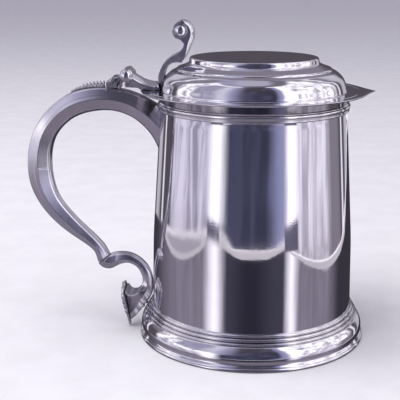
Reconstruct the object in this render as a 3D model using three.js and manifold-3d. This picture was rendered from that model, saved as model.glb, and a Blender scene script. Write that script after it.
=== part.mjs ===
// A silver lidded quart tankard, in millimetres, +Z up.
// The drum, its moulded foot and the lid are turned on one upright axis. The hollow scroll handle lies in the
// XZ plane on the -X side, and the lid swings on a hinge over the top of the handle.
// Places in the handle plane are given as (out, up): out from the drum's axis towards the handle, and up from
// the table.
import * as THREE from "three";
import { mergeVertices } from "three/addons/utils/BufferGeometryUtils.js";
import Module from "manifold-3d";

const wasm = await Module();
wasm.setup();

// Driving dimensions
const FOOT_R = 63.5;
const HANDLE_REACH = 125.6;
const LIP_REACH = 65.8;
const GAP = 0.3;
const TURN_STEPS = 48;

// Drum
const DRUM_BOTTOM_Z = 12.9;
const DRUM_BEND_Z = 57;
const DRUM_TOP_Z = 136.9;
const DRUM_BOTTOM_R = 55.9;
const DRUM_BEND_R = 55.3;
const DRUM_TOP_R = 51.0;
const DRUM_NECK_Z = 125;
const WALL = 1.6;

// Lid
const FLANGE_R = 61.3;
const FLANGE_LOW_Z = 137.2;
const FLANGE_HIGH_Z = 138.2;
const LID_TOP_Z = 155.9;
const LID_TOP_R = 34.7;
const CAP_FOOT_R = 50.4;

// Hinge
const HINGE_OUT = 68.6;
const HINGE_UP = 146.2;
const KNUCKLE_R = 3.4;
const HINGE_HALF = 7.6;
const PIN_R = 1.1;
const PIN_HOLE_R = 1.45;
const KNUCKLE_CLEARANCE = 0.4;
const KNUCKLE_EDGES = [-7.6, -4.6, -1.6, 1.6, 4.6, 7.6];

const point = (x, y) => new THREE.Vector2(x, y);
const onPlane = (out, up, across = 0) => new THREE.Vector3(-out, across, up);

// Longer than anything that a bar across the handle plane has to cut through.
const REACH_ACROSS = 30;

// Solids

// The points of a geometry welded together, with nothing but their positions.
function welded(geometry) {
  const bare = geometry.clone();
  bare.deleteAttribute("normal");
  bare.deleteAttribute("uv");
  return mergeVertices(bare, 1e-4);
}

function solidOf(geometry) {
  const merged = welded(geometry);
  return new wasm.Manifold(new wasm.Mesh({
    numProp: 3,
    vertProperties: merged.attributes.position.array,
    triVerts: new Uint32Array(merged.index.array),
  }));
}

function geometryOf(solid) {
  const mesh = solid.getMesh();
  const geometry = new THREE.BufferGeometry();
  geometry.setAttribute("position", new THREE.BufferAttribute(mesh.vertProperties, 3));
  geometry.setIndex(new THREE.BufferAttribute(mesh.triVerts, 1));
  geometry.computeVertexNormals();
  return geometry;
}

// Adds every solid of a list to the first one.
function joined(solids) {
  return solids.slice(1).reduce((sum, one) => sum.add(one), solids[0]);
}

// A body of revolution about Z from [radius, height] pairs, closed on itself, counter-clockwise.
function turned(profile, steps = TURN_STEPS) {
  const points = profile.map(([r, z]) => point(r, z));
  points.push(points[0].clone());
  const geometry = new THREE.LatheGeometry(points, steps);
  return solidOf(geometry.rotateX(Math.PI / 2));
}

// A full turned body, whose profile runs from the axis to the axis.
function turnedSolid(profile, steps = TURN_STEPS) {
  const geometry = new THREE.LatheGeometry(profile.map(([r, z]) => point(r, z)), steps);
  return solidOf(geometry.rotateX(Math.PI / 2));
}

// A plate whose outline lies in the handle plane, centred across it.
function plateInHandlePlane(shape, width, curveSegments = 6, middle = 0) {
  const geometry = new THREE.ExtrudeGeometry(shape, { depth: width, bevelEnabled: false, curveSegments });
  geometry.translate(0, 0, -width / 2);
  geometry.rotateX(Math.PI / 2);
  geometry.scale(-1, 1, 1);
  geometry.translate(0, middle, 0);
  const mirrored = welded(geometry);
  flipFaces(mirrored);
  return solidOf(mirrored);
}

function flipFaces(geometry) {
  const order = geometry.index.array;
  for (let i = 0; i < order.length; i += 3) {
    [order[i + 1], order[i + 2]] = [order[i + 2], order[i + 1]];
  }
}

// A round bar across the handle plane, at a place in it.
function crossBar(radius, from, to, out, up, steps = 20) {
  const bar = new THREE.CylinderGeometry(radius, radius, to - from, steps);
  bar.translate(0, (from + to) / 2, 0);
  bar.translate(-out, 0, up);
  return solidOf(bar);
}

// A closed skin through rings of points. outlines has the same rings in 2D, which gives the triangles of
// its two ends.
function lofted(rings, outlines) {
  const count = rings[0].length;
  const corners = rings.flat();
  const faces = [];
  for (let s = 0; s + 1 < rings.length; s += 1) {
    for (let i = 0; i < count; i += 1) {
      const a = s * count + i;
      const b = s * count + ((i + 1) % count);
      faces.push(a, b, b + count, a, b + count, a + count);
    }
  }
  const end = (rings.length - 1) * count;
  for (const [a, b, c] of THREE.ShapeUtils.triangulateShape(outlines[0], [])) {
    faces.push(c, b, a);
  }
  for (const [a, b, c] of THREE.ShapeUtils.triangulateShape(outlines[outlines.length - 1], [])) {
    faces.push(end + a, end + b, end + c);
  }
  const geometry = new THREE.BufferGeometry();
  geometry.setAttribute("position", new THREE.Float32BufferAttribute(corners.flatMap((v) => v.toArray()), 3));
  geometry.setIndex(faces);
  return solidOf(geometry);
}

// Handle
// Each row is one section of the handle: where its flat back lies (out, up) and where its round front lies.

const MAIN_SECTIONS = [
  [46.0, 125.5, 51.5, 102.5],
  [56.8, 132.3, 56.4, 112.8],
  [67.8, 137.0, 66.0, 122.0],
  [79.9, 138.9, 77.5, 125.9],
  [92.0, 138.2, 88.5, 125.2],
  [103.1, 134.3, 97.5, 122.4],
  [112.6, 127.2, 103.9, 117.8],
  [120.2, 117.2, 108.9, 111.5],
  [124.4, 105.5, 111.4, 103.5],
  [HANDLE_REACH, 93.5, 111.8, 94.0],
  [123.9, 82.3, 110.4, 84.0],
  [119.2, 72.6, 107.4, 76.0],
  [112.3, 63.9, 101.5, 68.2],
  [104.0, 56.7, 94.5, 60.6],
  [95.0, 50.6, 87.9, 54.0],
  [89.2, 45.8, 83.2, 48.4],
  [87.3, 39.4, 80.6, 43.8],
];

const TAIL_SECTIONS = [
  [87.2, 38.3, 80.4, 43.4],
  [84.9, 35.9, 79.9, 44.0],
  [80.3, 35.1, 78.2, 44.7],
  [75.8, 37.4, 74.6, 45.2],
  [70.5, 38.9, 68.5, 44.4],
  [66.0, 37.1, 61.8, 40.4],
  [63.0, 32.8, 57.3, 34.2],
  [62.0, 28.0, 55.7, 26.5],
  [63.2, 23.9, 57.0, 18.8],
  [66.3, 21.3, 61.3, 12.8],
  [69.5, 21.2, 65.2, 7.4],
  [71.6, 23.6, 69.0, 3.9],
];

const smooth = (t) => t * t * (3 - 2 * t);

// Places along a run, from one share of its length to another, with whole steps between them.
function placesAlong(steps, from = 0, to = 1) {
  const whole = Array.from({ length: steps - 1 }, (_, i) => (i + 1) / steps);
  return [from, ...whole.filter((t) => t > from && t < to), to];
}

// The back and the front edge of a run of sections, as smooth lines sampled at some places.
function stationsOf(sections, places) {
  const line = (points) => new THREE.CatmullRomCurve3(points, false, "centripetal");
  const back = line(sections.map(([out, up]) => onPlane(out, up)));
  const front = line(sections.map(([, , out, up]) => onPlane(out, up)));
  return places.map((t) => ({ t, back: back.getPoint(t), front: front.getPoint(t) }));
}

// The open channel of the handle's back: a flat strip with two side walls, as [depth, across] corners.
function backChannel(depth, backHalf, seamHalf, wall) {
  return [
    point(0, -seamHalf),
    point(depth, -backHalf),
    point(depth, backHalf),
    point(0, seamHalf),
    point(0, seamHalf - wall),
    point(depth - wall, backHalf - wall),
    point(depth - wall, wall - backHalf),
    point(0, wall - seamHalf),
  ];
}

// How far the front's sides lean in for each unit of depth, and where they turn over to its face.
const FRONT_SLANT = 0.46;
const KNEE_SHARE = 0.82;

// One line of the front, from one seam over its bowed face to the other.
function frontLine(depth, half) {
  const knee = KNEE_SHARE * depth;
  const kneeHalf = half - FRONT_SLANT * knee;
  return [point(0, half), point(-knee, kneeHalf), point(-depth, 0), point(-knee, -kneeHalf), point(0, -half)];
}

// The open channel of the handle's front, as [depth, across] corners moved off the seam by the gap.
function frontChannel(depth, seamHalf, wall) {
  const corners = [...frontLine(depth, seamHalf), ...frontLine(depth - wall, seamHalf - wall).reverse()];
  return corners.map((p) => point(p.x - GAP, p.y));
}

// Lays a 2D outline in the plane of a station, with its origin on the seam.
function laid(outline, station, seamShare) {
  const outward = station.back.clone().sub(station.front).normalize();
  const seam = station.front.clone().lerp(station.back, seamShare);
  return outline.map((p) => seam.clone().addScaledVector(outward, p.x).add(new THREE.Vector3(0, p.y, 0)));
}

const SEAM_SHARE = 0.55;
const BACK_SLANT = 0.4;

// Widths and seam place along the main handle.
function mainShape({ t, back, front }) {
  const thick = back.distanceTo(front);
  const seamHalf = 7.4 - 2.6 * smooth(t);
  const backHalf = seamHalf - BACK_SLANT * thick * (1 - SEAM_SHARE);
  return { thick, seamShare: SEAM_SHARE, backHalf, seamHalf };
}

// Widths and seam place along the tail, whose flat back widens into the end plate.
function tailShape({ t, back, front }) {
  const thick = back.distanceTo(front);
  const flare = smooth(THREE.MathUtils.clamp((t - 0.6) / 0.4, 0, 1));
  const tube = 5.2 - 0.8 * t;
  const seamShare = Math.min(SEAM_SHARE, tube / thick);
  const seamHalf = 4.8 - 1.8 * t;
  const slant = BACK_SLANT * Math.min(thick * (1 - seamShare), 4) * (1 - flare);
  return { thick, seamShare, backHalf: seamHalf - slant + 5.2 * flare, seamHalf };
}

const HANDLE_WALL = 1.1;

// A piece of the handle through some stations, with the outline that outlineAt gives for a station's shape.
function along(stations, shapeAt, outlineAt) {
  const shapes = stations.map(shapeAt);
  const outlines = shapes.map(outlineAt);
  return lofted(stations.map((station, i) => laid(outlines[i], station, shapes[i].seamShare)), outlines);
}

function backOf(stations, shapeAt) {
  return along(stations, shapeAt, (s) => (
    backChannel(s.thick * (1 - s.seamShare), s.backHalf, s.seamHalf, HANDLE_WALL)
  ));
}

function frontOf(stations, shapeAt, swell = 0, wall = HANDLE_WALL) {
  return along(stations, shapeAt, (s) => (
    frontChannel(s.thick * s.seamShare - GAP + swell, s.seamHalf + swell, wall)
  ));
}

const MAIN_STEPS = 32;
const TAIL_STEPS = 22;
const CROSS_SEAM = 0.5625;
const CROSS_GAP = 0.0025;
const mainStations = stationsOf(MAIN_SECTIONS, placesAlong(MAIN_STEPS));
const tailStations = stationsOf(TAIL_SECTIONS, placesAlong(TAIL_STEPS));

// The space that the drum and its mouldings fill, a little enlarged, which the handle's ends are cut to fit.
function drumRoom(extra) {
  return turnedSolid([
    [0, 0],
    [FOOT_R + extra, 0],
    [FOOT_R + extra, 2],
    [62.7 + extra, 5],
    [62.0 + extra, 9],
    [59.7 + extra, 12.6],
    [59.7 + extra, 14.4],
    [57.5 + extra, 16.6],
    [57.5 + extra, 18.3],
    [DRUM_BOTTOM_R + extra, 19],
    [DRUM_BEND_R + extra, DRUM_BEND_Z],
    [DRUM_TOP_R + 0.05 + extra, 127.5],
    [52.5 + extra, 128],
    [52.5 + extra, 132.6],
    [DRUM_TOP_R + extra, 133],
    [DRUM_TOP_R + extra, 170],
    [0, 170],
  ]);
}

function handleBack() {
  return backOf(mainStations, mainShape).subtract(drumRoom(GAP));
}

function handleFrontUpper() {
  const stations = stationsOf(MAIN_SECTIONS, placesAlong(MAIN_STEPS, 0, CROSS_SEAM));
  return frontOf(stations, mainShape).subtract(drumRoom(GAP));
}

function handleFrontLower() {
  return frontOf(stationsOf(MAIN_SECTIONS, placesAlong(MAIN_STEPS, CROSS_SEAM + CROSS_GAP, 1)), mainShape);
}

function tailBack() {
  return backOf(tailStations, tailShape).subtract(drumRoom(GAP));
}

function tailFront() {
  return frontOf(tailStations, tailShape).subtract(drumRoom(GAP));
}

const COLLAR_HALF = 0.009;
const COLLAR_SWELL = 1.1;
const COLLAR_WALL = 0.75;

// A raised ring over the front of the tail.
function tailCollar(middle) {
  const stations = stationsOf(TAIL_SECTIONS, [middle - COLLAR_HALF, middle + COLLAR_HALF]);
  return frontOf(stations, tailShape, COLLAR_SWELL, COLLAR_WALL).subtract(drumRoom(GAP));
}

// The end plate of the handle: a shield with a lobed top and a pointed foot, drawn as (across, up).
const PLATE_THICK = 1.7;
const PLATE_FOOT = 0.9;
const PLATE_HALF = 9.6;
const PLATE_SHOULDER = 19.6;
const PLATE_RISE = 6.6;
const LOBES = 5;
const LOBE_SWELL = 2.2;

function endPlate() {
  const shape = new THREE.Shape();
  const edge = (t) => {
    const angle = Math.PI * t;
    return point(-PLATE_HALF * Math.cos(angle), PLATE_SHOULDER + PLATE_RISE * Math.sin(angle));
  };
  shape.moveTo(0, PLATE_FOOT);
  shape.quadraticCurveTo(-4.4, 9.5, -PLATE_HALF, PLATE_SHOULDER);
  for (let i = 1; i <= LOBES; i += 1) {
    const middle = edge((i - 0.5) / LOBES);
    const swell = point(middle.x, middle.y - PLATE_SHOULDER).setLength(LOBE_SWELL);
    const end = edge(i / LOBES);
    shape.quadraticCurveTo(middle.x + swell.x, middle.y + swell.y, end.x, end.y);
  }
  shape.quadraticCurveTo(4.4, 9.5, 0, PLATE_FOOT);
  const geometry = new THREE.ExtrudeGeometry(shape, {
    depth: PLATE_THICK,
    bevelEnabled: false,
    curveSegments: 4,
  });
  // The outline's first axis lies across the handle and its second stands up.
  geometry.applyMatrix4(new THREE.Matrix4().makeBasis(
    new THREE.Vector3(0, -1, 0),
    new THREE.Vector3(0, 0, 1),
    new THREE.Vector3(-1, 0, 0),
  ));
  const [backOut, backUp, frontOut, frontUp] = TAIL_SECTIONS[TAIL_SECTIONS.length - 1];
  const lean = Math.atan2(backOut - frontOut, backUp - frontUp);
  geometry.translate(0, 0, -PLATE_FOOT);
  geometry.rotateY(-lean);
  const footOut = frontOut - (frontUp - PLATE_FOOT) * Math.tan(lean) + 0.5;
  geometry.translate(-footOut, 0, PLATE_FOOT);
  return solidOf(geometry);
}

// The graduated beads on the handle's back below the hinge, on a thin strip.
const BEAD_START = 81.0;
const BEAD_END = 99.8;
const BEAD_COUNT = 10;
const BEAD_HALF_LENGTH = 1.02;
const STRIP_THICK = 1.1;

function beadedDrop() {
  const overTop = (station) => station.back.z > HINGE_UP - 25;
  const back = stationsOf(MAIN_SECTIONS, placesAlong(400)).filter(overTop).map((station) => station.back);
  const pieces = [];
  for (let i = 0; i < BEAD_COUNT; i += 1) {
    const share = (i + 0.5) / BEAD_COUNT;
    const out = BEAD_START + (BEAD_END - BEAD_START) * share;
    const size = 0.55 + 1.5 * (1 - share ** 2.2);
    const bead = new THREE.SphereGeometry(1, 10, 7);
    bead.rotateX(Math.PI / 2);
    bead.scale(BEAD_HALF_LENGTH, 1.15 * size, size);
    const seat = back.reduce((best, p) => (Math.abs(-p.x - out) < Math.abs(-best.x - out) ? p : best));
    bead.translate(seat.x, 0, seat.z + GAP + 0.55 * size);
    pieces.push(solidOf(bead));
  }
  const run = stationsOf(MAIN_SECTIONS, placesAlong(160))
    .filter((s) => overTop(s) && -s.back.x >= BEAD_START - 0.6 && -s.back.x <= BEAD_END);
  const outlines = run.map((_, i) => {
    const half = 2.6 - (2.0 * i) / (run.length - 1);
    const top = GAP + STRIP_THICK;
    return [point(GAP, -half), point(top, -half), point(top, half), point(GAP, half)];
  });
  // A seam share of one lays the strip on the back itself.
  pieces.push(lofted(run.map((station, i) => laid(outlines[i], station, 1)), outlines));
  const handleRoom = backOf(mainStations, (station) => {
    const shape = mainShape(station);
    return { ...shape, backHalf: shape.backHalf + 1 };
  });
  return joined(pieces).subtract(handleRoom);
}

// Hinge

const knuckle = (from, to) => crossBar(KNUCKLE_R, from, to, HINGE_OUT, HINGE_UP);
const pinHole = () => crossBar(PIN_HOLE_R, -REACH_ACROSS, REACH_ACROSS, HINGE_OUT, HINGE_UP, 16);

// The room that one knuckle turns in.
function knuckleRoom(index) {
  const [from, to] = [KNUCKLE_EDGES[index] - GAP / 2, KNUCKLE_EDGES[index + 1] + GAP / 2];
  return crossBar(KNUCKLE_R + KNUCKLE_CLEARANCE, from, to, HINGE_OUT, HINGE_UP);
}

// Knuckles 0, 2 and 4 belong to the handle, 1 and 3 to the lid.
function knuckleSpan(index) {
  return [KNUCKLE_EDGES[index] + GAP / 2, KNUCKLE_EDGES[index + 1] - GAP / 2];
}

// The block that stands on the handle's back behind the lid's hinge.
function hingeBlock() {
  const shape = new THREE.Shape([
    point(72.6, 139.05),
    point(74.5, 139.2),
    point(79.6, 139.45),
    point(80.6, 141.2),
    point(79.5, 142.9),
    point(78.0, 143.1),
    point(77.0, 144.9),
    point(72.7, 145.2),
  ]);
  const block = plateInHandlePlane(shape, 2 * HINGE_HALF - GAP);
  const knuckles = [0, 2, 4].map((i) => knuckle(...knuckleSpan(i)));
  const webs = [0, 2, 4].map((i) => webTo(knuckleSpan(i)));
  return joined([block, ...webs, ...knuckles]).subtract(joined([1, 3].map(knuckleRoom))).subtract(pinHole());
}

// The arm from the block up to one of its knuckles.
function webTo([from, to]) {
  const shape = new THREE.Shape([
    point(76.0, 139.5),
    point(76.0, 144.5),
    point(71.6, 146.6),
    point(69.2, 149.2),
    point(69.2, 143.2),
  ]);
  return plateInHandlePlane(shape, to - from, 1, (from + to) / 2);
}

function hingePin() {
  return crossBar(PIN_R, -HINGE_HALF - 0.5, HINGE_HALF + 0.5, HINGE_OUT, HINGE_UP, 16);
}

// Wider than any cap or boss, to cut its inner half away.
const CAP_CUT_R = 20;

// A round cap over each end of the pin, seated clear of it.
function hingeCap(side) {
  const cap = new THREE.SphereGeometry(3.6, 18, 12);
  cap.scale(1, 0.72, 1);
  cap.translate(-HINGE_OUT, side * 8.55, HINGE_UP);
  const inner = side < 0 ? [-HINGE_HALF - GAP, REACH_ACROSS] : [-REACH_ACROSS, HINGE_HALF + GAP];
  const knuckleEnd = crossBar(CAP_CUT_R, inner[0], inner[1], HINGE_OUT, HINGE_UP, 4);
  const seat = crossBar(PIN_R + GAP, -HINGE_HALF - 0.8, HINGE_HALF + 0.8, HINGE_OUT, HINGE_UP, 16);
  return solidOf(cap).subtract(knuckleEnd).subtract(seat);
}

// The lid's hinge plate: a wedge on the flange that rises to its two knuckles.
function lidHingePlate() {
  const shape = new THREE.Shape();
  shape.moveTo(50.9, 138.5);
  shape.lineTo(61.2, 138.5);
  shape.lineTo(62.4, 139.4);
  shape.lineTo(69.6, 139.6);
  shape.lineTo(70.0, 141.4);
  shape.lineTo(68.6, 146.2);
  shape.lineTo(65.4, 147.4);
  shape.quadraticCurveTo(63.2, 143.6, 58.4, 142.3);
  shape.lineTo(53.6, 141.4);
  shape.lineTo(50.9, 141.4);
  const plate = plateInHandlePlane(shape, 2 * HINGE_HALF - GAP);
  const room = [0, 2, 4].map(knuckleRoom);
  const knuckles = [1, 3].map((i) => knuckle(...knuckleSpan(i)));
  const domed = plate.subtract(capRoom(GAP)).subtract(joined(room));
  return joined([domed, ...knuckles]).subtract(pinHole());
}

// Lid

// The outer line of the raised cap, from the centre of its flat top down to the flange, as [radius, height].
const CAP_LINE = [
  [LID_TOP_R - 0.5, LID_TOP_Z],
  [LID_TOP_R + 0.1, LID_TOP_Z - 0.5],
  [LID_TOP_R + 0.3, 154.4],
  [LID_TOP_R + 0.45, 153.3],
  [35.8, 152.55],
  [38.6, 151.35],
  [40.9, 150.55],
  [41.5, 150.4],
  [42.15, 149.75],
  [42.35, 149.3],
  [44.5, 148.5],
  [46.0, 147.3],
  [47.7, 145.7],
  [48.75, 144.0],
  [49.5, 142.0],
  [50.0, 140.0],
  [CAP_FOOT_R, 138.5],
];
const CAP_WALL = 1.3;

function lidCap() {
  const inner = [
    [49.1, 138.5],
    [48.4, 141.6],
    [47.3, 143.8],
    [45.9, 145.6],
    [43.9, 147.0],
    [39.2, 149.3],
    [35.2, 150.9],
    [34.0, 152.4],
    [33.5, LID_TOP_Z - CAP_WALL],
    [0, LID_TOP_Z - CAP_WALL],
  ];
  return turnedSolid([[0, LID_TOP_Z], ...CAP_LINE, ...inner].reverse());
}

function capRoom(extra) {
  const line = CAP_LINE.map(([r, z]) => [r + extra, z + extra]);
  return turnedSolid([[0, LID_TOP_Z + extra], ...line, [CAP_FOOT_R + extra, 130], [0, 130]].reverse());
}

// The flat flange, with a small pointed lip opposite the handle.
function lidFlange() {
  const ring = turned([
    [50.6, FLANGE_LOW_Z],
    [FLANGE_R, FLANGE_LOW_Z],
    [FLANGE_R, FLANGE_HIGH_Z],
    [50.6, FLANGE_HIGH_Z],
  ], 64);
  const shape = new THREE.Shape();
  const start = 0.34;
  shape.moveTo(FLANGE_R * Math.cos(start) - 0.4, -FLANGE_R * Math.sin(start));
  shape.quadraticCurveTo(62.4, -6, LIP_REACH, 0);
  shape.quadraticCurveTo(62.4, 6, FLANGE_R * Math.cos(start) - 0.4, FLANGE_R * Math.sin(start));
  const lip = new THREE.ExtrudeGeometry(shape, {
    depth: FLANGE_HIGH_Z - FLANGE_LOW_Z,
    bevelEnabled: false,
    curveSegments: 5,
  });
  lip.translate(0, 0, FLANGE_LOW_Z);
  return ring.add(solidOf(lip));
}

// The ring under the lid that centres it in the drum's mouth.
function lidBezel() {
  return turned([
    [48.1, 132.5],
    [48.9, 132.5],
    [48.9, 136.9],
    [50.0, 137.5],
    [50.0, 138.1],
    [48.4, 138.1],
    [48.1, 137.6],
  ]);
}

// Thumbpiece: an S scroll that rises from the hinge plate and curls back over a round boss.
const THUMB_HALF = 4.6;
const BOSS_OUT = 39.6;
const BOSS_UP = 169.9;

function thumbShape() {
  const shape = new THREE.Shape();
  shape.moveTo(51.9, 141.8);
  shape.splineThru([
    point(51.9, 145.6), point(50.8, 149.2), point(48.6, 152.9), point(45.2, 155.9), point(40.6, 158.5),
    point(38.7, 160.8), point(38.3, 163.2), point(39.6, 164.8),
  ]);
  shape.splineThru([
    point(42.6, 166.2), point(44.2, 169.6), point(43.0, 173.0), point(40.0, 175.0), point(36.6, 175.3),
    point(33.6, 173.4), point(32.0, 170.0), point(32.0, 166.6), point(33.4, 162.6), point(35.8, 157.2),
    point(39.0, 152.7),
  ]);
  shape.splineThru([
    point(41.8, 152.8), point(44.4, 152.3), point(46.6, 150.4), point(47.9, 147.6), point(48.4, 144.6),
    point(48.5, 141.8),
  ]);
  return shape;
}

function thumbpiece() {
  return plateInHandlePlane(thumbShape(), 2 * THUMB_HALF, 2).subtract(capRoom(GAP));
}

function thumbBoss(side) {
  const boss = new THREE.SphereGeometry(3.1, 14, 10);
  boss.scale(1, 0.6, 1);
  boss.translate(-BOSS_OUT, side * THUMB_HALF, BOSS_UP);
  const inner = side < 0 ? [-THUMB_HALF - GAP, REACH_ACROSS] : [-REACH_ACROSS, THUMB_HALF + GAP];
  return solidOf(boss).subtract(crossBar(CAP_CUT_R, inner[0], inner[1], BOSS_OUT, BOSS_UP, 4));
}

// Drum and foot

function drum() {
  return turned([
    [DRUM_BOTTOM_R - WALL, DRUM_BOTTOM_Z],
    [DRUM_BOTTOM_R, DRUM_BOTTOM_Z],
    [DRUM_BOTTOM_R, 19],
    [DRUM_BEND_R, DRUM_BEND_Z],
    [DRUM_TOP_R, DRUM_NECK_Z],
    [DRUM_TOP_R, DRUM_TOP_Z],
    [DRUM_TOP_R - WALL, DRUM_TOP_Z],
    [DRUM_TOP_R - WALL, DRUM_NECK_Z],
    [DRUM_BEND_R - WALL, DRUM_BEND_Z],
    [DRUM_BOTTOM_R - WALL, 19],
  ]);
}

function baseDisc() {
  const radius = DRUM_BOTTOM_R - WALL - GAP;
  return turnedSolid([[0, 13.2], [radius, 13.2], [radius, 15.0], [0, 15.0]]);
}

// The reeded band a little below the drum's rim.
function rimMoulding() {
  const inner = DRUM_TOP_R + GAP;
  return turned([
    [inner, 127.7],
    [inner + 0.5, 127.8],
    [inner + 0.55, 128.4],
    [inner + 0.3, 128.9],
    [inner + 0.9, 129.6],
    [inner + 1.0, 130.6],
    [inner + 0.8, 131.5],
    [inner + 0.35, 132.2],
    [inner, 132.3],
  ]);
}

// The three reeds between the drum and its foot.
function baseMoulding() {
  const inner = DRUM_BOTTOM_R + GAP;
  return turned([
    [inner, 12.9],
    [59.3, 12.9],
    [59.6, 13.5],
    [59.2, 14.2],
    [58.1, 14.5],
    [58.2, 15.6],
    [57.6, 16.3],
    [57.4, 17.4],
    [56.9, 18.1],
    [inner, 18.2],
  ]);
}

// The foot's convex skirt, a hollow shell with a small hollow moulding at its lower edge.
function footSkirt() {
  return turned([
    [60.2, 2.1],
    [62.5, 2.1],
    [61.7, 3.3],
    [61.8, 4.4],
    [62.5, 5.1],
    [62.6, 6.8],
    [62.1, 8.9],
    [61.2, 10.8],
    [59.6, 12.6],
    [56.4, 12.6],
    [56.4, 11.4],
    [58.9, 11.0],
    [60.4, 9.0],
    [61.0, 6.8],
    [60.2, 4.6],
  ]);
}

// The wire round the bottom of the foot, with the flat face that stands on the table.
function footWire() {
  return turned([
    [60.2, 0],
    [63.1, 0],
    [FOOT_R, 0.5],
    [FOOT_R, 1.2],
    [63.0, 1.8],
    [60.2, 1.8],
  ]);
}

// Materials

const silver = (color, roughness) => new THREE.MeshStandardMaterial({ color, roughness, metalness: 1 });
const polishedSilver = () => silver(0xc9c4cf, 0.12);
const brightSilver = () => silver(0xd6d2da, 0.08);
const castSilver = () => silver(0xbfb8c4, 0.2);

const tankard = new THREE.Group();
tankard.position.x = (HANDLE_REACH - LIP_REACH) / 2;

function place(name, solid, material) {
  const mesh = new THREE.Mesh(geometryOf(solid), material());
  mesh.name = name;
  tankard.add(mesh);
}

place("drum", drum(), polishedSilver);
place("base_disc", baseDisc(), polishedSilver);
place("rim_moulding", rimMoulding(), brightSilver);
place("base_moulding", baseMoulding(), brightSilver);
place("foot_skirt", footSkirt(), polishedSilver);
place("foot_wire", footWire(), brightSilver);
place("handle_back", handleBack(), polishedSilver);
place("handle_front_upper", handleFrontUpper(), polishedSilver);
place("handle_front_lower", handleFrontLower(), polishedSilver);
place("tail_back", tailBack(), polishedSilver);
place("tail_front", tailFront(), polishedSilver);
place("tail_collar_upper", tailCollar(0.79), brightSilver);
place("tail_collar_lower", tailCollar(0.825), brightSilver);
place("end_plate", endPlate(), castSilver);
place("beaded_drop", beadedDrop(), castSilver);
place("hinge_block", hingeBlock(), castSilver);
place("hinge_pin", hingePin(), castSilver);
place("hinge_cap_near", hingeCap(-1), brightSilver);
place("hinge_cap_far", hingeCap(1), brightSilver);
place("lid_cap", lidCap(), polishedSilver);
place("lid_flange", lidFlange(), polishedSilver);
place("lid_bezel", lidBezel(), polishedSilver);
place("lid_hinge_plate", lidHingePlate(), castSilver);
place("thumbpiece", thumbpiece(), castSilver);
place("thumb_boss_near", thumbBoss(-1), brightSilver);
place("thumb_boss_far", thumbBoss(1), brightSilver);

export default tankard;
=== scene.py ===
"""A polished silver lidded quart tankard with a scroll handle, on a pale studio floor.

Lengths are in millimetres until a point is placed, when MM turns them into metres.
A place in the handle's plane is (out, up): out from the drum's axis towards the handle, and up from
the table.
"""

import math
import random
from collections import namedtuple

import bmesh
import bpy
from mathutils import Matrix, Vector


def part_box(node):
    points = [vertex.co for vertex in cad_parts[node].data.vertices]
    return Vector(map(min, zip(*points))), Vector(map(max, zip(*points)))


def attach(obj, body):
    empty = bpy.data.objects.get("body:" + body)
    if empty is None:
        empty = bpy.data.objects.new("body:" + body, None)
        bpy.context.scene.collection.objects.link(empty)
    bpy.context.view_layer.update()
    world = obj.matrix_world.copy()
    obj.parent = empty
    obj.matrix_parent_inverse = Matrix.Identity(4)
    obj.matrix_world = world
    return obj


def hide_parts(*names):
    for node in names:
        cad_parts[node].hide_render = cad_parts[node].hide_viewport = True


MM = 0.001
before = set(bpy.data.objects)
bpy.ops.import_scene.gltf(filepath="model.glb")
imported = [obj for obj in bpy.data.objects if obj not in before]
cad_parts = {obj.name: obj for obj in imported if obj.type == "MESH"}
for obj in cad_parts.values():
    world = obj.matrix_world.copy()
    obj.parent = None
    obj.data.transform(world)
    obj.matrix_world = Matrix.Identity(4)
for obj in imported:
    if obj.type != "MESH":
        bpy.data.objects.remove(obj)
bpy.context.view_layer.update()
scene = bpy.context.scene
dice = random.Random(1705)


def half_width(node):
    """Half of a node's size across the handle's plane, in mm."""
    low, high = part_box(node)
    return (high.y - low.y) / 2 / MM


def heights(node):
    """The lowest and the highest point of a node, in mm."""
    low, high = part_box(node)
    return low.z / MM, high.z / MM


AXIS_X = sum(corner.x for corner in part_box("drum")) / 2
DRUM_R = half_width("drum")
DRUM_LOW, DRUM_TOP = heights("drum")
FOOT_R = half_width("foot_wire")
FLANGE_R = half_width("lid_flange")
FLANGE_LOW, FLANGE_HIGH = heights("lid_flange")
LID_TOP = heights("lid_cap")[1]
LIP_REACH = (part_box("lid_flange")[1].x - AXIS_X) / MM
NECK_R = 51.0


def placed(name, data):
    """A new object in the scene."""
    thing = bpy.data.objects.new(name, data)
    scene.collection.objects.link(thing)
    return thing


def spot(out, up, across=0.0):
    """A point of the tankard, in metres."""
    return Vector((AXIS_X - out * MM, across * MM, up * MM))


# -------- outlines

GUARD = 0.12


def quadratic(a, b, c, steps):
    """Points of a quadratic curve, without its last one."""
    line = []
    for k in range(steps):
        t = k / steps
        line.append(Vector(a) * (1 - t) ** 2 + Vector(b) * 2 * t * (1 - t) + Vector(c) * t**2)
    return line


def rounded(corners, closed=True, turns=5, guard=GUARD):
    """A profile with its corners rounded.

    A corner is (a, b, reach), and reach is how far the rounding runs along each side.
    Each rounding has a guard point on both sides, which keeps the flats next to it flat in shading.
    """
    line = []
    count = len(corners)
    for i, (a, b, reach) in enumerate(corners):
        here = Vector((a, b))
        if not reach or (not closed and i in (0, count - 1)):
            line.append(here)
            continue
        sides = []
        for other in (corners[i - 1], corners[(i + 1) % count]):
            side = Vector(other[:2]) - here
            sides.append((side.normalized(), min(reach, side.length * 0.45), side.length * 0.49))
        (back, back_reach, back_most), (on, on_reach, on_most) = sides
        line.append(here + back * min(back_reach + guard, back_most))
        line += quadratic(here + back * back_reach, here, here + on * on_reach, turns)
        line += [here + on * on_reach, here + on * min(on_reach + guard, on_most)]
    return [tuple(p) for p in line]


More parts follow.
